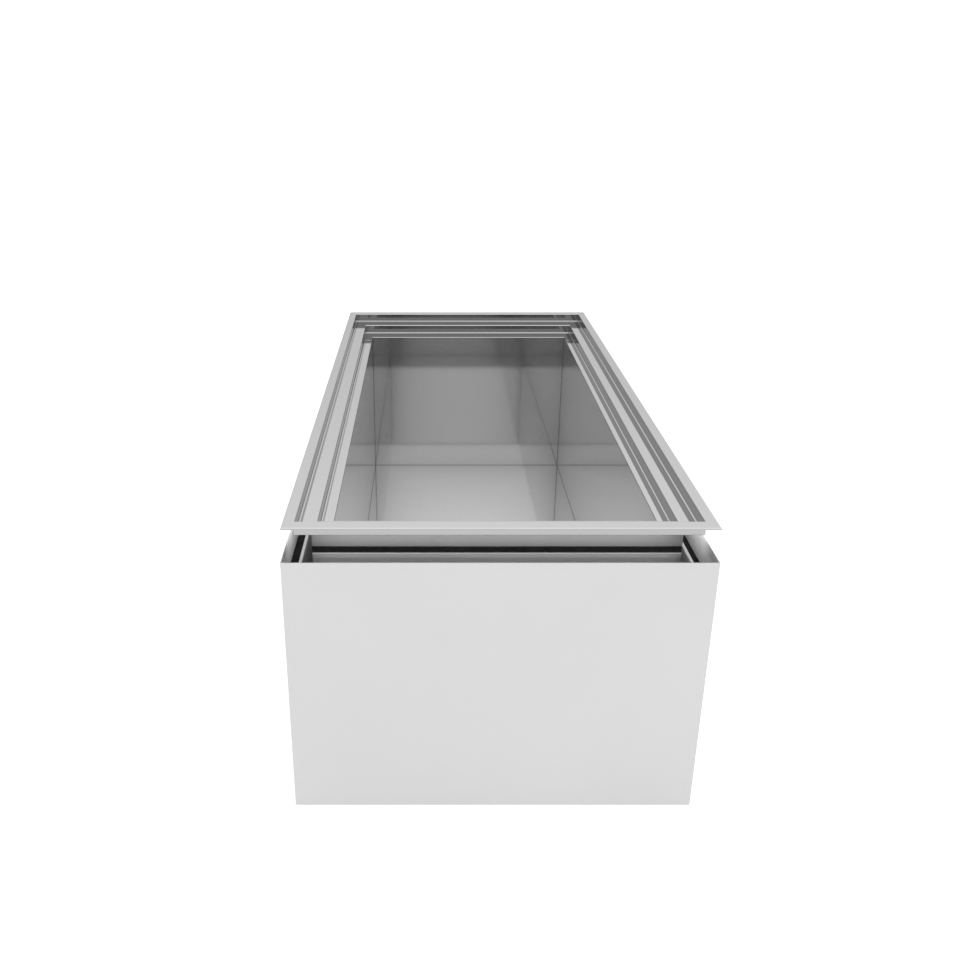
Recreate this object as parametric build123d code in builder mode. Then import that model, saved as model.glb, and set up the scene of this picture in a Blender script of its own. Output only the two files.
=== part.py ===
"""Drop-in ice cream dipping cabinet: an insulated stainless tub that stands in an open-topped outer casing.

Millimetres. +Z is up, the long side runs along Y, and the origin is the centre of the casing's underside.
Every outline that goes round the cabinet is a centred rectangle, held as (half width, half length).
"""

from build123d import *
import os

# ---- heights above the underside ----
RIM_Z = 546.0  # top face of the flange
LEDGE_1_Z = RIM_Z - 22.0  # upper ledge
LEDGE_2_Z = RIM_Z - 45.0  # lower ledge
TUB_FLOOR_Z = RIM_Z - 443.0  # inside face of the tub floor
JACKET_BASE_Z = 65.0  # underside of the insert
CASING_TOP_Z = 486.0
INSULATION_TOP_Z = (434.0, 443.0)  # tops of the casing's black boards, on the long sides and at the ends
LINING_TOP_Z = 445.0

# ---- centred rectangles: (half width along X, half length along Y) ----
FLANGE_OUT = (350.0, 762.0)
FLANGE_IN = (330.0, 735.0)  # inner face of riser 1
LEDGE_1_IN = (299.0, 686.0)  # inner face of riser 2
TUB = (277.0, 635.0)  # inner faces of the tub
JACKET = (310.0, 690.0)  # outside of the insert's jacket
CASING = (353.0, 765.0)  # outside of the casing

# ---- sheet and board thicknesses ----
RIM_SHEET = 2.0
EDGE_BEND_R = 2.0  # outside of the bends at the flange's edges and the upper ledge's
TUB_EDGE_R = 1.5
FOOT_BEND_R = 2.5  # inside of the bends at the risers' feet
OUTER_FOOT_R = 1.0
FLANGE_LIP = 3.0  # depth of the flange's turned-down edge
TUB_SHEET = 1.5
JACKET_SHEET = 1.0
JACKET_RETURN = 12.0  # fold that the next sheet is spot-welded to
GLUE_GAP = 1.0  # between the jacket and its boards, where the folds lie
CASING_SHEET = 1.5
CASING_RETURN = 15.0  # fold at the ends of the side sheets
CASING_UPTURN = 13.5  # fold round the floor pan
CASING_FOLD_BASE_Z = 16.0
CASING_FOLD_TOP_Z = 425.0
CASING_BOARD = (16.5, 29.0)  # thickness on the long sides and at the ends
CASING_FLOOR_BOARD = 24.0
LINING_SHEET = 1.0
LINING_HEM = 5.0  # width of the fold along the lining's top edge
LINING_HEM_DROP = 7.0

# ---- flange gasket ----
GASKET_OUT = (343.0, 755.0)
GASKET_WIDTH = 9.0
GASKET_THICK = 3.0

# ---- evaporator coil ----
COIL_TUBE_R = 4.76
COIL_WALL = 0.8
COIL_GAP = 0.24  # between the tube and the tub's side wall
COIL_X = TUB[0] + TUB_SHEET + COIL_TUBE_R + COIL_GAP  # tube centre
COIL_PITCH = 60.0  # between runs
COIL_RUNS = 6  # on each side
COIL_LOW_Z = 146.0
COIL_BEND_R = 28.0
COIL_CORNER_R = 20.0  # bends behind the tub
COIL_END_Y = 580.0  # where the return bends end
COIL_CROSS_Y = 670.0  # run behind the tub from one side to the other
COIL_GROOVE_R = 5.2

# ---- lines through the casing floor ----
LINE_Y = COIL_CROSS_Y
LINE_X = 200.0
LINE_END_Z = 4.0
LINE_TOP_Z = 118.0  # top of the sockets that take the coil's ends
SOCKET_DEPTH = 12.0
SOCKET_R = COIL_TUBE_R + 0.05
SUCTION_R = 7.94
LIQUID_R = 4.76
LINE_WALL = 1.0
LINE_ROOM = 1.0  # round the lines, in the boards
LINE_NECK_Z = 96.0  # where the lines begin to change to the sockets' size
WELL_R = 4.0
WELL_GAP = 0.2  # between the well and the tub's back wall
WELL_Y = TUB[1] + TUB_SHEET + WELL_R + WELL_GAP
WELL_TOP_Z = 320.0

# ---- sleeves and clearance holes ----
LINE_SLEEVE_R = 20.0
SLEEVE_WALL = 2.0
SLEEVE_BASE_Z = 0.5
SLEEVE_GAP = 0.3  # round a sleeve in its holes
JACKET_HOLE_GAP = 1.0

# ---- bearers ----
BEARER_YS = (-400.0, 0.0, 400.0)
BEARER_WIDTH = 60.0
BEARER_LENGTH = 600.0

# ---- worked out from the above ----
UNDER_LEDGE_1_Z = LEDGE_1_Z - RIM_SHEET
UNDER_LEDGE_2_Z = LEDGE_2_Z - RIM_SHEET
UNDER_TUB_Z = TUB_FLOOR_Z - TUB_SHEET
CASING_IN = (CASING[0] - CASING_SHEET, CASING[1] - CASING_SHEET)
BOARD_IN = (CASING_IN[0] - CASING_BOARD[0], CASING_IN[1] - CASING_BOARD[1])
LINING_FLOOR_Z = CASING_SHEET + CASING_FLOOR_BOARD
BEARER_BASE_Z = LINING_FLOOR_Z + LINING_SHEET
JACKET_IN = (JACKET[0] - JACKET_SHEET, JACKET[1] - JACKET_SHEET)
FOAM_OUT = (JACKET_IN[0] - GLUE_GAP, JACKET_IN[1] - GLUE_GAP)
FOAM_BASE_Z = JACKET_BASE_Z + JACKET_SHEET + GLUE_GAP
TUB_OUT = (TUB[0] + TUB_SHEET, TUB[1] + TUB_SHEET)
RISER_2_OUT = (LEDGE_1_IN[0] + RIM_SHEET, LEDGE_1_IN[1] + RIM_SHEET)
LINE_PLACES = ((-LINE_X, LINE_Y), (LINE_X, LINE_Y), (0.0, WELL_Y))
LINE_RADII = (LIQUID_R, SUCTION_R, WELL_R)
COIL_TOP_Z = COIL_LOW_Z + COIL_PITCH * (COIL_RUNS - 1)
COIL_STOP_Z = LINE_TOP_Z - SOCKET_DEPTH

STANDING = (Align.CENTER, Align.CENTER, Align.MIN)

# name of each side, whether it is a long side (0) or an end (1), and which way it faces
SIDES = (("left", 0, -1), ("right", 0, 1), ("front", 1, -1), ("back", 1, 1))


def save(piece, name):
    """Label one finished piece and write it to its own file."""
    piece.part.label = name
    export_step(piece.part, f"parts/{name}.step")


def middle(low, high):
    """The point halfway between two corners."""
    return tuple((a + b) / 2 for a, b in zip(low, high))


def spans(low, high):
    """The width, length and height between two corners."""
    return [b - a for a, b in zip(low, high)]


def block(low, high, cuts=()):
    """A square-edged board or sheet between two corners, less any blocks given in cuts."""
    with BuildPart() as board:
        with Locations(middle(low, high)):
            Box(*spans(low, high))
        for cut_low, cut_high in cuts:
            with Locations(middle(cut_low, cut_high)):
                Box(*spans(cut_low, cut_high), mode=Mode.SUBTRACT)
    return board


def turned(places, profile):
    """The closed (radius, height) profile spun round an upright axis at each place."""
    with BuildPart() as spun:
        for x, y in places:
            with BuildSketch(Plane.XZ.offset(-y)):
                with BuildLine():
                    Polyline([(x + radius, height) for radius, height in profile], close=True)
                make_face()
            revolve(axis=Axis((x, y, 0), (0, 0, 1)))
    return spun


def mitred_strip(section, corner, level, side):
    """A folded sheet along one side of a rectangle, mitred at both ends.

    section is its folded outline as (distance from the middle, height, bend radius), and corner its mitre in
    plan, from the inside out. level is 0 for the long sides, at +X or -X, and 1 for the ends, at +Y or -Y.
    """
    reach = corner[-1][1 - level]
    if level == 0:
        across = Plane.XZ.offset(-reach)
        plan = corner[::-1] + [(x, -y) for x, y in corner]
        plan = [(side * x, y) for x, y in plan]
    else:
        across = Plane.YZ.offset(-reach)
        plan = corner[::-1] + [(-x, y) for x, y in corner]
        plan = [(x, side * y) for x, y in plan]
    with BuildPart() as strip:
        with BuildSketch(across):
            with BuildLine():
                outline = [(side * out, height) for out, height, radius in section]
                FilletPolyline(outline, radius=[radius for out, height, radius in section], close=True)
            make_face()
        extrude(amount=2 * reach)
        with BuildSketch():
            with BuildLine():
                Polyline(plan, close=True)
            make_face()
        extrude(amount=RIM_Z, mode=Mode.INTERSECT)
    return strip


# ---- top rim: four folded rails, mitred at the corners ----
def rim_section(level):
    """Flange, riser, ledge, riser and ledge across one rail, on the long sides (0) or at the ends (1).

    Each point is (distance from the middle, height, bend radius).
    """
    flange_out, flange_in = FLANGE_OUT[level], FLANGE_IN[level]
    ledge_in, tub = LEDGE_1_IN[level], TUB[level]
    top = [(flange_out, RIM_Z, EDGE_BEND_R), (flange_in, RIM_Z, EDGE_BEND_R)]
    top += [(flange_in, LEDGE_1_Z, FOOT_BEND_R), (ledge_in, LEDGE_1_Z, EDGE_BEND_R)]
    top += [(ledge_in, LEDGE_2_Z, FOOT_BEND_R), (tub, LEDGE_2_Z, TUB_EDGE_R)]
    under = [(tub, UNDER_LEDGE_2_Z, 0), (ledge_in + RIM_SHEET, UNDER_LEDGE_2_Z, OUTER_FOOT_R)]
    under += [(ledge_in + RIM_SHEET, UNDER_LEDGE_1_Z, 0)]
    under += [(flange_in + RIM_SHEET, UNDER_LEDGE_1_Z, OUTER_FOOT_R)]
    under += [(flange_in + RIM_SHEET, RIM_Z - RIM_SHEET, 0), (flange_out - RIM_SHEET, RIM_Z - RIM_SHEET, 0)]
    under += [(flange_out - RIM_SHEET, RIM_Z - FLANGE_LIP, 0), (flange_out, RIM_Z - FLANGE_LIP, 0)]
    return top + under


def grown(size, amount):
    """A centred rectangle's half sizes, larger by amount all round."""
    return size[0] + amount, size[1] + amount


def make_rim():
    corner = [TUB, grown(TUB, RIM_SHEET)]
    for inner in (LEDGE_1_IN, FLANGE_IN):
        corner.append(grown(inner, -FOOT_BEND_R))
        corner.append(grown(inner, RIM_SHEET))
    corner += [grown(FLANGE_OUT, -EDGE_BEND_R), FLANGE_OUT]
    for name, level, side in SIDES:
        save(mitred_strip(rim_section(level), corner, level, side), f"rim_{name}")


# ---- flange gasket: one closed strip stuck under the flange ----
def make_gasket():
    with BuildPart() as gasket:
        with BuildSketch(Plane.XY.offset(RIM_Z - RIM_SHEET - GASKET_THICK)):
            Rectangle(2 * GASKET_OUT[0], 2 * GASKET_OUT[1])
            Rectangle(
                2 * (GASKET_OUT[0] - GASKET_WIDTH),
                2 * (GASKET_OUT[1] - GASKET_WIDTH),
                mode=Mode.SUBTRACT,
            )
        extrude(amount=GASKET_THICK)
    save(gasket, "flange_gasket")


# ---- tub: five sheets welded edge to edge ----
def make_tub():
    for side, name in ((-1, "tub_left"), (1, "tub_right")):
        near, far = sorted((side * TUB[0], side * TUB_OUT[0]))
        save(block((near, -TUB_OUT[1], UNDER_TUB_Z), (far, TUB_OUT[1], UNDER_LEDGE_2_Z)), name)
    for side, name in ((-1, "tub_front"), (1, "tub_back")):
        near, far = sorted((side * TUB[1], side * TUB_OUT[1]))
        save(block((-TUB[0], near, UNDER_TUB_Z), (TUB[0], far, UNDER_LEDGE_2_Z)), name)
    with BuildPart() as floor:
        with BuildSketch(Plane.XY.offset(UNDER_TUB_Z)):
            Rectangle(2 * TUB[0], 2 * TUB[1])
        extrude(amount=TUB_SHEET)
    save(floor, "tub_floor")


# ---- evaporator: one copper tube, up one side of the tub, across the back and down the other ----
def coil_points():
    """Corners of the tube's route, before its bends are rounded."""
    left = [(-LINE_X, LINE_Y, LINE_TOP_Z - SOCKET_DEPTH), (-LINE_X, COIL_CROSS_Y, COIL_LOW_Z)]
    left.append((-COIL_X, COIL_CROSS_Y, COIL_LOW_Z))
    for run in range(COIL_RUNS - 1):
        end_y = -COIL_END_Y if run % 2 == 0 else COIL_END_Y
        height = COIL_LOW_Z + run * COIL_PITCH
        left.append((-COIL_X, end_y, height))
        left.append((-COIL_X, end_y, height + COIL_PITCH))
    left.append((-COIL_X, COIL_CROSS_Y, COIL_TOP_Z))
    return left + [(-x, y, z) for x, y, z in reversed(left)]


def coil_solid(radius, bore=0.0):
    """A tube, or with no bore a solid rod, along the coil's route."""
    points = coil_points()
    bends = [COIL_CORNER_R, COIL_CORNER_R] + [COIL_BEND_R] * (len(points) // 2 - 4) + [COIL_CORNER_R]
    with BuildPart() as coil:
        with BuildLine() as route:
            FilletPolyline(*points, radius=bends + bends[::-1])
        with BuildSketch(Plane(points[0], z_dir=(0, 0, 1))):
            Circle(radius)
            if bore:
                Circle(bore, mode=Mode.SUBTRACT)
        sweep(path=route.line)
    return coil


# ---- insulation boards of the insert, grooved for the coil ----
def foam_board(low, high, coil_room=None, holes=()):
    """One board with a rebate under the lower ledge, the coil's groove, and upright holes (x, y, r, top)."""
    with BuildPart() as board:
        with Locations(middle(low, high)):
            Box(*spans(low, high))
        with Locations((0, 0, UNDER_LEDGE_2_Z)):
            Box(2 * RISER_2_OUT[0], 2 * RISER_2_OUT[1], LEDGE_2_Z, align=STANDING, mode=Mode.SUBTRACT)
        if coil_room:
            add(coil_room, mode=Mode.SUBTRACT)
        for x, y, radius, top in holes:
            with Locations((x, y, 0)):
                Cylinder(radius, top, align=STANDING, mode=Mode.SUBTRACT)
    return board


def make_foam(coil_room):
    x_in, y_in = TUB_OUT
    x_out, y_out = FOAM_OUT
    base, top = UNDER_TUB_Z, UNDER_LEDGE_1_Z
    lines = [
        (-LINE_X, LINE_Y, SOCKET_R + LINE_WALL + LINE_ROOM, LINE_TOP_Z),
        (LINE_X, LINE_Y, SUCTION_R + LINE_ROOM, LINE_TOP_Z),
        (0.0, WELL_Y, WELL_R + LINE_ROOM, WELL_TOP_Z),
    ]
    save(foam_board((-x_out, -y_in, base), (-x_in, y_in, top), coil_room), "foam_left")
    save(foam_board((x_in, -y_in, base), (x_out, y_in, top), coil_room), "foam_right")
    save(foam_board((-x_out, -y_out, base), (x_out, -y_in, top)), "foam_front")
    save(foam_board((-x_out, y_in, base), (x_out, y_out, top), coil_room, lines), "foam_back")
    save(foam_board((-x_out, -y_out, FOAM_BASE_Z), (x_out, y_out, base), None, lines), "foam_floor")


# ---- jacket: five thin sheets, spot-welded to folds that lie inside them ----
def make_jacket():
    x_out, y_out = JACKET
    x_in, y_in = JACKET_IN
    base, top = JACKET_BASE_Z, UNDER_LEDGE_1_Z
    save(block((-x_out, -y_out, base), (-x_in, y_out, top)), "jacket_left")
    save(block((x_in, -y_out, base), (x_out, y_out, top)), "jacket_right")
    fold_base = base + JACKET_SHEET + JACKET_RETURN + GLUE_GAP
    for side, name in ((-1, "jacket_front"), (1, "jacket_back")):
        with BuildPart() as sheet:
            with BuildSketch(Plane.XY.offset(base)):
                with Locations((0, side * (y_in + JACKET_SHEET / 2))):
                    Rectangle(2 * x_in, JACKET_SHEET)
            extrude(amount=top - base)
            with BuildSketch(Plane.XY.offset(fold_base)):
                for x in (-x_in + JACKET_SHEET / 2, x_in - JACKET_SHEET / 2):
                    with Locations((x, side * (y_in - JACKET_RETURN / 2))):
                        Rectangle(JACKET_SHEET, JACKET_RETURN)
            extrude(amount=top - fold_base)
        save(sheet, name)
    holes = [(x, y, radius + JACKET_HOLE_GAP) for (x, y), radius in zip(LINE_PLACES, LINE_RADII)]
    save(floor_pan(JACKET_IN, base, JACKET_SHEET, JACKET_RETURN, holes), "jacket_floor")


def floor_pan(size, base, sheet, upturn, holes):
    """A flat sheet with its edges folded up all round, and holes (x, y, r) through it."""
    with BuildPart() as pan:
        with BuildSketch(Plane.XY.offset(base)):
            Rectangle(2 * size[0], 2 * size[1])
        extrude(amount=sheet + upturn)
        with BuildSketch(Plane.XY.offset(base + sheet)):
            Rectangle(2 * (size[0] - sheet), 2 * (size[1] - sheet))
        extrude(amount=upturn, mode=Mode.SUBTRACT)
        for x, y, radius in holes:
            with Locations((x, y, base)):
                Cylinder(radius, sheet, align=STANDING, mode=Mode.SUBTRACT)
    return pan


# ---- refrigerant lines and the thermostat's well ----
def line_profile(radius):
    """An upright tube whose top narrows or widens to a socket for the coil's end."""
    bore = radius - LINE_WALL
    outside = [(bore, LINE_END_Z), (radius, LINE_END_Z), (radius, LINE_NECK_Z)]
    outside += [(SOCKET_R + LINE_WALL, COIL_STOP_Z), (SOCKET_R + LINE_WALL, LINE_TOP_Z)]
    inside = [(SOCKET_R, LINE_TOP_Z), (SOCKET_R, COIL_STOP_Z)]
    inside += [(COIL_TUBE_R - COIL_WALL, COIL_STOP_Z), (bore, LINE_NECK_Z)]
    return outside + inside


def make_lines():
    save(turned([LINE_PLACES[0]], line_profile(LIQUID_R)), "liquid_line")
    save(turned([LINE_PLACES[1]], line_profile(SUCTION_R)), "suction_line")
    bore = WELL_R - LINE_WALL
    well = [(bore, LINE_END_Z), (WELL_R, LINE_END_Z), (WELL_R, WELL_TOP_Z), (0, WELL_TOP_Z)]
    well += [(0, WELL_TOP_Z - LINE_WALL), (bore, WELL_TOP_Z - LINE_WALL)]
    save(turned([LINE_PLACES[2]], well), "thermostat_well")


# ---- outer casing: two side sheets with folded ends, two end sheets and a floor pan ----
def casing_side_fold(side, end):
    """The two corners of the upright fold at one end of a side sheet."""
    x_near, x_far = sorted((side * (CASING_IN[0] - CASING_RETURN), side * CASING_IN[0]))
    y_near, y_far = sorted((end * (CASING_IN[1] - CASING_SHEET), end * CASING_IN[1]))
    return (x_near, y_near, CASING_FOLD_BASE_Z), (x_far, y_far, CASING_FOLD_TOP_Z)


def make_casing():
    x_in, y_in = CASING_IN
    x_out, y_out = CASING
    for side, name in ((-1, "casing_left"), (1, "casing_right")):
        near, far = sorted((side * x_in, side * x_out))
        with BuildPart() as sheet:
            with BuildSketch():
                with Locations(((near + far) / 2, 0)):
                    Rectangle(CASING_SHEET, 2 * y_in)
            extrude(amount=CASING_TOP_Z)
            for end in (-1, 1):
                add(block(*casing_side_fold(side, end)).part)
        save(sheet, name)
    save(block((-x_out, -y_out, 0), (x_out, -y_in, CASING_TOP_Z)), "casing_front")
    save(block((-x_out, y_in, 0), (x_out, y_out, CASING_TOP_Z)), "casing_back")
    save(floor_pan(CASING_IN, 0, CASING_SHEET, CASING_UPTURN, sleeve_holes()), "casing_floor")


def sleeve_holes():
    """The holes, (x, y, r), that the sleeves stand in."""
    return [(x, y, LINE_SLEEVE_R + SLEEVE_WALL + SLEEVE_GAP) for x, y in LINE_PLACES]


def make_casing_boards():
    x_out, y_out = CASING_IN
    x_in, y_in = BOARD_IN
    base = LINING_FLOOR_Z
    side_top, end_top = INSULATION_TOP_Z
    for side, name in ((-1, "casing_foam_left"), (1, "casing_foam_right")):
        near, far = sorted((side * x_in, side * x_out))
        folds = [casing_side_fold(side, end) for end in (-1, 1)]
        save(block((near, -y_out, base), (far, y_out, side_top), folds), name)
    save(block((-x_in, -y_out, base), (x_in, -y_in, end_top)), "casing_foam_front")
    save(block((-x_in, y_in, base), (x_in, y_out, end_top)), "casing_foam_back")
    with BuildPart() as floor:
        with BuildSketch(Plane.XY.offset(CASING_SHEET)):
            Rectangle(2 * (x_out - CASING_SHEET), 2 * (y_out - CASING_SHEET))
            for x, y, radius in sleeve_holes():
                with Locations((x, y)):
                    Circle(radius, mode=Mode.SUBTRACT)
        extrude(amount=CASING_FLOOR_BOARD)
    save(floor, "casing_foam_floor")


def make_lining():
    def section(level):
        out = BOARD_IN[level]
        hem, base, top = out - LINING_HEM, BEARER_BASE_Z, LINING_TOP_Z
        outline = [(out, base), (out, top), (hem, top), (hem, top - LINING_HEM_DROP)]
        outline += [(hem + LINING_SHEET, top - LINING_HEM_DROP), (hem + LINING_SHEET, top - LINING_SHEET)]
        outline += [(out - LINING_SHEET, top - LINING_SHEET), (out - LINING_SHEET, base)]
        return [(distance, height, 0) for distance, height in outline]

    corner = [(BOARD_IN[0] - LINING_HEM, BOARD_IN[1] - LINING_HEM), BOARD_IN]
    for name, level, side in SIDES:
        save(mitred_strip(section(level), corner, level, side), f"lining_{name}")
    with BuildPart() as floor:
        with BuildSketch(Plane.XY.offset(LINING_FLOOR_Z)):
            Rectangle(2 * BOARD_IN[0], 2 * BOARD_IN[1])
            for x, y, radius in sleeve_holes():
                with Locations((x, y)):
                    Circle(radius, mode=Mode.SUBTRACT)
        extrude(amount=LINING_SHEET)
    save(floor, "lining_floor")


def sleeve_profile(bore):
    """A flanged sleeve that lines a hole through the casing's floor."""
    outside, flange = bore + SLEEVE_WALL, bore + 2 * SLEEVE_WALL + SLEEVE_GAP
    top = BEARER_BASE_Z + SLEEVE_WALL
    below = [(bore, SLEEVE_BASE_Z), (outside, SLEEVE_BASE_Z), (outside, BEARER_BASE_Z)]
    return below + [(flange, BEARER_BASE_Z), (flange, top), (bore, top)]


def make_floor_pieces():
    save(turned(LINE_PLACES, sleeve_profile(LINE_SLEEVE_R)), "line_sleeves")
    with BuildPart() as bearers:
        with BuildSketch(Plane.XY.offset(BEARER_BASE_Z)):
            with Locations([(0, y) for y in BEARER_YS]):
                Rectangle(BEARER_LENGTH, BEARER_WIDTH)
        extrude(amount=JACKET_BASE_Z - BEARER_BASE_Z)
    save(bearers, "bearers")


os.makedirs("parts", exist_ok=True)
make_rim()
make_gasket()
make_tub()
save(coil_solid(COIL_TUBE_R, COIL_TUBE_R - COIL_WALL), "evaporator_coil")
make_foam(coil_solid(COIL_GROOVE_R).part)
make_jacket()
make_lines()
make_casing()
make_casing_boards()
make_lining()
make_floor_pieces()
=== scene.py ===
"""Studio view of a drop-in ice cream dipping cabinet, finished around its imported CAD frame."""

import math

import bpy
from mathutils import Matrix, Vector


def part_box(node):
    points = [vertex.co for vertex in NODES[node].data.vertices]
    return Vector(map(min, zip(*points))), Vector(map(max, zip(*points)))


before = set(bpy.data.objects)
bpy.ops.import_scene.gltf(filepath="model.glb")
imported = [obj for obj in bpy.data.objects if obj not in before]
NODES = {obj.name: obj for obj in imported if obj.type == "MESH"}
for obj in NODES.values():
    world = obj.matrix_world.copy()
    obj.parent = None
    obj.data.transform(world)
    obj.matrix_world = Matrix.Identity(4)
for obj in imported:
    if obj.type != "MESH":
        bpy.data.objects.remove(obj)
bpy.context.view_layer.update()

# ---- camera, in metres from the rim ----
SENSOR_WIDTH = 36.0  # millimetres, as the lens is
LENS = 36.3967
LENS_SHIFT = 0.062245  # share of the picture's width that the lens is shifted sideways
PITCH = math.radians(22.95)
CAMERA_FROM_MIDDLE = -0.114
CAMERA_ABOVE_RIM = 0.6668
CAMERA_FROM_FLANGE = 1.419

# ---- light: brightness of the sky at a few heights above the horizon (sine of the angle, brightness) ----
SKY_AHEAD = ((0.0, 1.25), (0.065, 1.08), (0.11, 0.86), (0.25, 0.90), (0.45, 0.95), (1.0, 1.25))
SKY_BEHIND = ((0.0, 0.9), (0.13, 0.62), (0.34, 0.70), (0.44, 1.15), (1.0, 1.2))
SKY_PEAK = 2.0  # brightness of white in the ramps
SKY_BLEND = 0.3  # how far to each side of the cabinet's middle the two skies mix
FLOOR_SIZE = 60.0
FLOOR_GLOW = 0.42

# ---- strip lamps in the gap round the insert, which light only matt surfaces (metres, watts per metre) ----
GAP_LAMP_WIDTH = 0.012
GAP_LAMP_DROP = 0.004  # below the top of the jacket
GAP_LAMP_TILT = 45
END_LAMP_POWER = 0.2
SIDE_LAMP_POWER = 0.26
LOW_LAMP_POWER = 0.032
GAP_LAMP_SPREAD = math.radians(100)
LOW_LAMP_LEVEL = 0.437
LOW_LAMP_CLEAR = 0.003  # out from the jacket's ends
LOW_LAMP_TILT = 90

# ---- painted shade towards the tub's corners and weld seams along them, in metres ----
TUB_HALF = (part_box("tub_right")[0].x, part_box("tub_back")[0].y)
TUB_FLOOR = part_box("tub_floor")[1].z
# painted shade: how much the tub's tone darkens in a corner, and over what distance it fades
CORNER_SHADE_DEPTH = 0.22  # share of the tone lost in a corner
CORNER_SHADE_REACH = 0.07
SEAM_HALF = 0.0011
SEAM_EDGE = (0.6, 1.4)  # where the seam's edge starts and ends, in SEAM_HALF
SEAM_TONE = 0.5

# ---- steel: grain directions, tones, painted shade on the rim's vertical faces, and the bends of the rim ----
ALONG_X = (4.0, 400.0, 400.0)
ALONG_Y = (400.0, 4.0, 400.0)
ALONG_Z = (400.0, 400.0, 4.0)
STEEL = 0.70
# painted shade: the tone of the rim's vertical faces, darker than its level faces
UPRIGHT_SHADED_STEEL = 0.38
RIM_EDGE = 0.7  # how much of a mirror the rim is at a glancing angle
WALL_STEEL = 0.67
BEND_ANGLE = math.radians(30)  # faces that meet at less than this belong to one bend


# ---- node helpers ----
def material(name):
    """A new node material and its tree, with the Principled shader ready."""
    made = bpy.data.materials.new(name)
    made.use_nodes = True
    tree = made.node_tree
    shader = next(node for node in tree.nodes if node.type == "BSDF_PRINCIPLED")
    return made, tree, shader


def noise(tree, scale, stretch=(1, 1, 1), detail=3.0, roughness=0.55):
    """Noise in the object's own metres, stretched along its axes."""
    coordinates = tree.nodes.new("ShaderNodeTexCoord")
    mapping = tree.nodes.new("ShaderNodeMapping")
    mapping.inputs["Scale"].default_value = stretch
    texture = tree.nodes.new("ShaderNodeTexNoise")
    texture.inputs["Scale"].default_value = scale
    texture.inputs["Detail"].default_value = detail
    texture.inputs["Roughness"].default_value = roughness
    tree.links.new(coordinates.outputs["Object"], mapping.inputs["Vector"])
    tree.links.new(mapping.outputs["Vector"], texture.inputs["Vector"])
    return texture.outputs["Fac"]


def ramp(tree, value, low, high, start=0.3, end=0.7):
    """A colour between low and high as value goes from start to end."""
    node = tree.nodes.new("ShaderNodeValToRGB")
    node.color_ramp.elements[0].position = start
    node.color_ramp.elements[0].color = (*low, 1)
    node.color_ramp.elements[1].position = end
    node.color_ramp.elements[1].color = (*high, 1)
    tree.links.new(value, node.inputs["Fac"])
    return node.outputs["Color"]


def spread(tree, value, low, high):
    """value, which runs from 0 to 1, as a number from low to high."""
    node = tree.nodes.new("ShaderNodeMapRange")
    node.inputs["To Min"].default_value = low
    node.inputs["To Max"].default_value = high
    tree.links.new(value, node.inputs["Value"])
    return node.outputs["Result"]


def bump(tree, shader, height, distance, strength=1.0):
    """Raises the surface by up to distance, in metres."""
    node = tree.nodes.new("ShaderNodeBump")
    node.inputs["Distance"].default_value = distance
    node.inputs["Strength"].default_value = strength
    tree.links.new(height, node.inputs["Height"])
    tree.links.new(node.outputs["Normal"], shader.inputs["Normal"])


def grey(value):
    return (value, value, value)


def sums(tree, operation, first, second=None):
    """One arithmetic step on sockets or plain numbers."""
    node = tree.nodes.new("ShaderNodeMath")
    node.operation = operation
    for index, value in enumerate((first, second)):
        if value is None:
            continue
        if isinstance(value, (int, float)):
            node.inputs[index].default_value = value
        else:
            tree.links.new(value, node.inputs[index])
    return node.outputs[0]


def parts_of(tree, output):
    """The x, y and z of the object's own coordinates or normals."""
    coordinates = tree.nodes.new("ShaderNodeTexCoord")
    split = tree.nodes.new("ShaderNodeSeparateXYZ")
    tree.links.new(coordinates.outputs[output], split.inputs[0])
    return split.outputs


# ---- materials ----
def upright_painted_shade(tree, flat, upright):
    """Base colour flat on level faces and upright on vertical ones: painted shade that darkens the rail's
    vertical faces.
    """
    level = sums(tree, "ABSOLUTE", parts_of(tree, "Normal")[2])
    return spread(tree, level, upright, flat)


def corner_shade_and_seam(tree, axes):
    """Painted shade, darker towards the tub's corners, and a thin weld seam along them.

    axes holds x, y or z for the distances that count: to the side walls, the end walls or the floor.
    """
    place = parts_of(tree, "Object")
    gaps = {
        "x": sums(tree, "SUBTRACT", TUB_HALF[0], sums(tree, "ABSOLUTE", place[0])),
        "y": sums(tree, "SUBTRACT", TUB_HALF[1], sums(tree, "ABSOLUTE", place[1])),
        "z": sums(tree, "SUBTRACT", place[2], TUB_FLOOR),
    }
    nearest = gaps[axes[0]]
    for axis in axes[1:]:
        nearest = sums(tree, "MINIMUM", nearest, gaps[axis])
    upright = [gaps[axis] for axis in axes if axis != "z"]
    corner = upright[0] if len(upright) == 1 else sums(tree, "MINIMUM", upright[0], upright[1])
    # painted shade fading out from the upright corners
    fading = sums(tree, "EXPONENT", sums(tree, "MULTIPLY", corner, -1 / CORNER_SHADE_REACH))
    corner_shade = sums(tree, "SUBTRACT", 1.0, sums(tree, "MULTIPLY", fading, CORNER_SHADE_DEPTH))
    seam = tree.nodes.new("ShaderNodeMapRange")
    seam.inputs["From Min"].default_value = SEAM_HALF * SEAM_EDGE[0]
    seam.inputs["From Max"].default_value = SEAM_HALF * SEAM_EDGE[1]
    seam.inputs["To Min"].default_value = SEAM_TONE
    tree.links.new(nearest, seam.inputs["Value"])
    return sums(tree, "MULTIPLY", corner_shade, seam.outputs["Result"])


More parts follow.
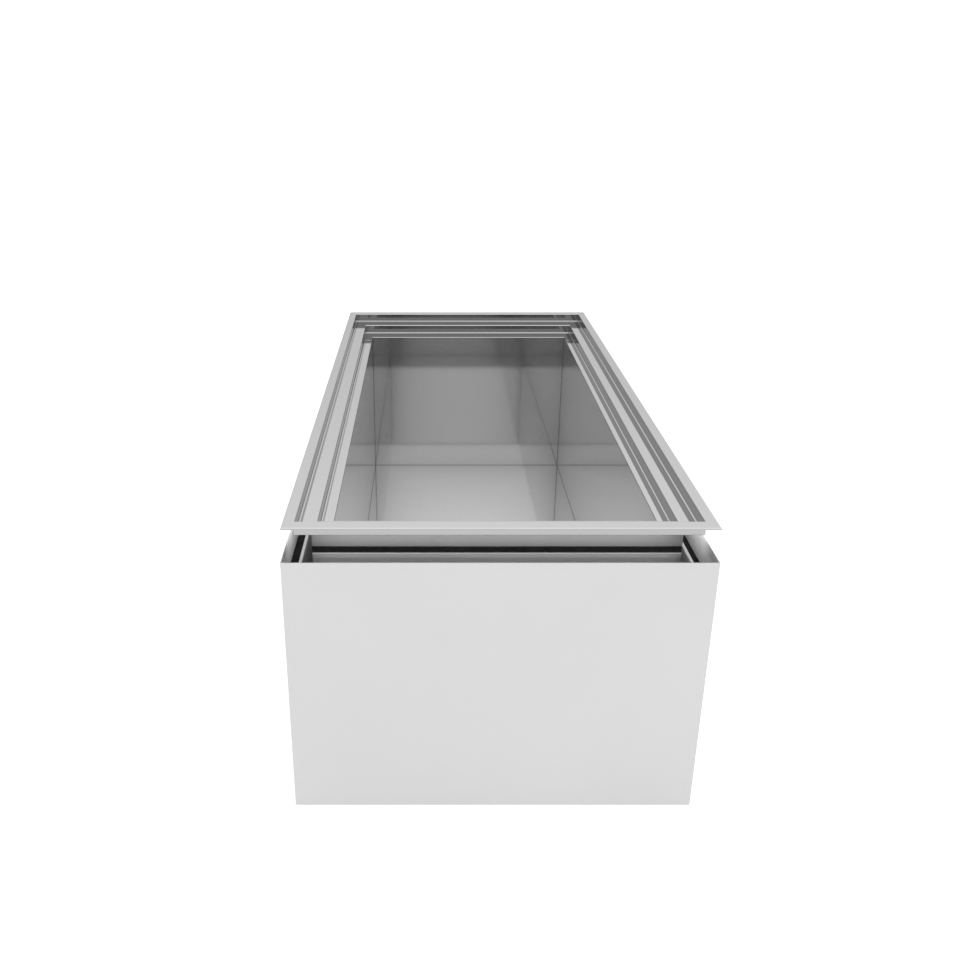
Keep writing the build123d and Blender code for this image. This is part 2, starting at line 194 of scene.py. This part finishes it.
def steel(name, tone, roughness, grain, grain_depth=2e-6, variation=0.03, upright=None, shade_and_seam_axes="", edge=1.0):
    """Polished stainless sheet whose grain runs along the axis with the smallest number in grain."""
    made, tree, shader = material(name)
    shader.inputs["Metallic"].default_value = 1.0
    shader.inputs["Specular Tint"].default_value = (*grey(edge), 1)
    streaks = noise(tree, 1.0, grain, detail=2.0)
    clouds = noise(tree, 3.0, detail=2.0)
    colour = spread(tree, streaks, 1 - variation, 1 + variation)
    # upright, when given, darkens the vertical faces with painted shade
    colour = sums(tree, "MULTIPLY", colour, tone if upright is None else upright_painted_shade(tree, tone, upright))
    # painted shade towards the tub's corners, with the weld seams along them
    if shade_and_seam_axes:
        colour = sums(tree, "MULTIPLY", colour, corner_shade_and_seam(tree, shade_and_seam_axes))
    tree.links.new(colour, shader.inputs["Base Color"])
    tree.links.new(spread(tree, clouds, roughness * 0.8, roughness * 1.2), shader.inputs["Roughness"])
    bump(tree, shader, streaks, grain_depth)
    return made


def painted(name, tone, roughness=0.45):
    """Light grey coated sheet with a faint orange-peel texture."""
    made, tree, shader = material(name)
    clouds = noise(tree, 2.5, detail=4.0)
    peel = noise(tree, 900.0, detail=1.0)
    tree.links.new(ramp(tree, clouds, grey(tone * 0.985), grey(tone * 1.015)), shader.inputs["Base Color"])
    tree.links.new(spread(tree, clouds, roughness * 0.9, roughness * 1.1), shader.inputs["Roughness"])
    bump(tree, shader, peel, 2e-5)
    return made


def foam(name, low, high, cell=450.0):
    """Cut foam board: open cells, matt."""
    made, tree, shader = material(name)
    cells = noise(tree, cell, detail=4.0, roughness=0.7)
    tree.links.new(ramp(tree, cells, low, high), shader.inputs["Base Color"])
    shader.inputs["Roughness"].default_value = 0.95
    bump(tree, shader, cells, 3e-4)
    return made


def moulded(name, low, high, roughness):
    """Rubber or plastic with a fine moulded texture."""
    made, tree, shader = material(name)
    clouds = noise(tree, 60.0, detail=4.0)
    tree.links.new(ramp(tree, clouds, low, high), shader.inputs["Base Color"])
    tree.links.new(spread(tree, clouds, roughness * 0.85, roughness * 1.15), shader.inputs["Roughness"])
    bump(tree, shader, noise(tree, 1500.0), 3e-5)
    return made


def copper(name):
    """Drawn copper tube, a little tarnished."""
    made, tree, shader = material(name)
    shader.inputs["Metallic"].default_value = 1.0
    tarnish = noise(tree, 25.0, detail=6.0)
    tree.links.new(ramp(tree, tarnish, (0.42, 0.17, 0.09), (0.86, 0.46, 0.30)), shader.inputs["Base Color"])
    tree.links.new(spread(tree, tarnish, 0.45, 0.2), shader.inputs["Roughness"])
    bump(tree, shader, noise(tree, 300.0), 1e-5)
    return made


def smooth_bends(node):
    """Shades the bends of a folded rail smoothly and keeps its flat faces flat."""
    node.data.shade_smooth()
    node.data.set_sharp_from_angle(angle=BEND_ANGLE)
    even = node.modifiers.new("even_normals", "WEIGHTED_NORMAL")
    even.keep_sharp = True


def dress():
    """Give every CAD node its material."""
    rim_long = steel("polished_steel_along", STEEL, 0.05, ALONG_Y, upright=UPRIGHT_SHADED_STEEL, edge=RIM_EDGE)
    rim_across = steel("polished_steel_across", STEEL, 0.05, ALONG_X, upright=UPRIGHT_SHADED_STEEL, edge=RIM_EDGE)
    end_wall = steel("tub_end_steel", WALL_STEEL, 0.04, ALONG_X, shade_and_seam_axes="xz")
    side_wall = steel("tub_side_steel", WALL_STEEL, 0.05, ALONG_Z, shade_and_seam_axes="yz", variation=0.05)
    tub_floor = steel("tub_floor_steel", STEEL, 0.04, ALONG_Y, shade_and_seam_axes="xy")
    jacket = steel("jacket_steel", STEEL, 0.05, ALONG_X)
    casing = painted("casing_paint", 0.60)
    lining = painted("lining_paint", 0.62)
    black = foam("black_insulation", grey(0.004), grey(0.012))
    cream = foam("cream_foam", (0.70, 0.60, 0.36), (0.84, 0.76, 0.52))
    rubber = moulded("black_rubber", grey(0.012), grey(0.03), 0.6)
    plastic = moulded("white_plastic", grey(0.72), grey(0.8), 0.4)
    copper_tube = copper("copper_tube")
    chosen = {
        "rim_left": rim_long,
        "rim_right": rim_long,
        "rim": rim_across,
        "tub_left": side_wall,
        "tub_right": side_wall,
        "tub_floor": tub_floor,
        "tub": end_wall,
        "jacket": jacket,
        "casing_foam": black,
        "casing": casing,
        "lining": lining,
        "foam": cream,
        "flange_gasket": rubber,
        "bearers": plastic,
        "line_sleeves": plastic,
        "evaporator_coil": copper_tube,
        "liquid_line": copper_tube,
        "suction_line": copper_tube,
        "thermostat_well": copper_tube,
    }
    for name, node in NODES.items():
        start = max((start for start in chosen if name.startswith(start)), key=len)
        node.data.materials.clear()
        node.data.materials.append(chosen[start])
        if name.startswith("rim"):
            smooth_bends(node)


# ---- surroundings ----
def make_floor():
    """A pale sheet that the cabinet stands on."""
    half = FLOOR_SIZE / 2
    mesh = bpy.data.meshes.new("floor")
    corners = [(-half, -half, 0), (half, -half, 0), (half, half, 0), (-half, half, 0)]
    mesh.from_pydata(corners, [], [(0, 1, 2, 3)])
    floor = bpy.data.objects.new("floor", mesh)
    bpy.context.scene.collection.objects.link(floor)
    made, tree, shader = material("floor_paper")
    shader.inputs["Base Color"].default_value = (0.9, 0.9, 0.9, 1)
    shader.inputs["Roughness"].default_value = 0.9
    shader.inputs["Emission Color"].default_value = (1, 1, 1, 1)
    shader.inputs["Emission Strength"].default_value = FLOOR_GLOW
    mesh.materials.append(made)


def sky_ramp(tree, height, stops):
    """Brightness that follows the height above the horizon."""
    node = tree.nodes.new("ShaderNodeValToRGB")
    node.color_ramp.interpolation = "EASE"
    ends = node.color_ramp.elements
    for place, _ in stops[1:-1]:
        ends.new(place)
    for element, (place, bright) in zip(ends, stops):
        element.position = place
        element.color = (*grey(bright / SKY_PEAK), 1)
    tree.links.new(height, node.inputs["Fac"])
    return node.outputs["Color"]


def make_sky():
    """A pale studio all round, a little dimmer low down behind the camera."""
    world = bpy.data.worlds.new("studio")
    bpy.context.scene.world = world
    world.use_nodes = True
    tree = world.node_tree
    coordinates = tree.nodes.new("ShaderNodeTexCoord")
    split = tree.nodes.new("ShaderNodeSeparateXYZ")
    tree.links.new(coordinates.outputs["Generated"], split.inputs[0])
    blend = tree.nodes.new("ShaderNodeMix")
    blend.data_type = "RGBA"
    facing = tree.nodes.new("ShaderNodeMapRange")
    facing.inputs["From Min"].default_value = -SKY_BLEND
    facing.inputs["From Max"].default_value = SKY_BLEND
    tree.links.new(split.outputs[1], facing.inputs["Value"])
    tree.links.new(facing.outputs["Result"], blend.inputs[0])
    colours_in = [socket for socket in blend.inputs if socket.type == "RGBA"]
    tree.links.new(sky_ramp(tree, split.outputs[2], SKY_BEHIND), colours_in[0])
    tree.links.new(sky_ramp(tree, split.outputs[2], SKY_AHEAD), colours_in[1])
    background = tree.nodes["Background"]
    background.inputs["Strength"].default_value = SKY_PEAK
    blended = next(socket for socket in blend.outputs if socket.type == "RGBA")
    tree.links.new(blended, background.inputs["Color"])


def strip_lamp(name, place, turn, tilt, length, power):
    """A long thin lamp that matt surfaces see, but the camera and mirrors don't."""
    data = bpy.data.lights.new(name, "AREA")
    data.shape = "RECTANGLE"
    data.size = GAP_LAMP_WIDTH
    data.size_y = length
    data.energy = power * length
    data.spread = GAP_LAMP_SPREAD
    lamp = bpy.data.objects.new(name, data)
    lamp.location = place
    lamp.rotation_euler = (0, math.radians(-tilt), math.radians(turn))
    lamp.visible_camera = False
    lamp.visible_glossy = False
    bpy.context.scene.collection.objects.link(lamp)


def make_gap_lamps():
    """Strips over each side of the gap between the insert and its casing, facing down and out."""
    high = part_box("jacket_right")[1]
    across, along = high.x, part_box("jacket_back")[1].y
    level = high.z - GAP_LAMP_DROP
    clear = GAP_LAMP_WIDTH
    sides = (("left", 180, -1, 0), ("right", 0, 1, 0), ("front", -90, 0, -1), ("back", 90, 0, 1))
    for name, turn, x, y in sides:
        length = 2 * along if x else 2 * across
        place = (x * (across + clear), y * (along + clear), level)
        power = SIDE_LAMP_POWER if x else END_LAMP_POWER
        strip_lamp("gap_" + name, place, turn, GAP_LAMP_TILT, length, power)
        if y:
            low = (0, y * (along + LOW_LAMP_CLEAR), LOW_LAMP_LEVEL)
            strip_lamp("low_" + name, low, turn, LOW_LAMP_TILT, length, LOW_LAMP_POWER)


def make_camera():
    """A camera over the front end that looks down the length of the cabinet."""
    rim_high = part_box("rim_front")[1].z
    flange_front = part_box("rim_front")[0].y
    data = bpy.data.cameras.new("camera")
    data.sensor_width = SENSOR_WIDTH
    data.lens = LENS
    data.shift_x = LENS_SHIFT
    camera = bpy.data.objects.new("camera", data)
    camera.location = (CAMERA_FROM_MIDDLE, flange_front - CAMERA_FROM_FLANGE, rim_high + CAMERA_ABOVE_RIM)
    camera.rotation_euler = (math.radians(90) - PITCH, 0, 0)
    bpy.context.scene.collection.objects.link(camera)
    bpy.context.scene.camera = camera


bpy.context.scene.view_settings.view_transform = "Standard"
make_camera()
make_floor()
make_sky()
make_gap_lamps()
dress()
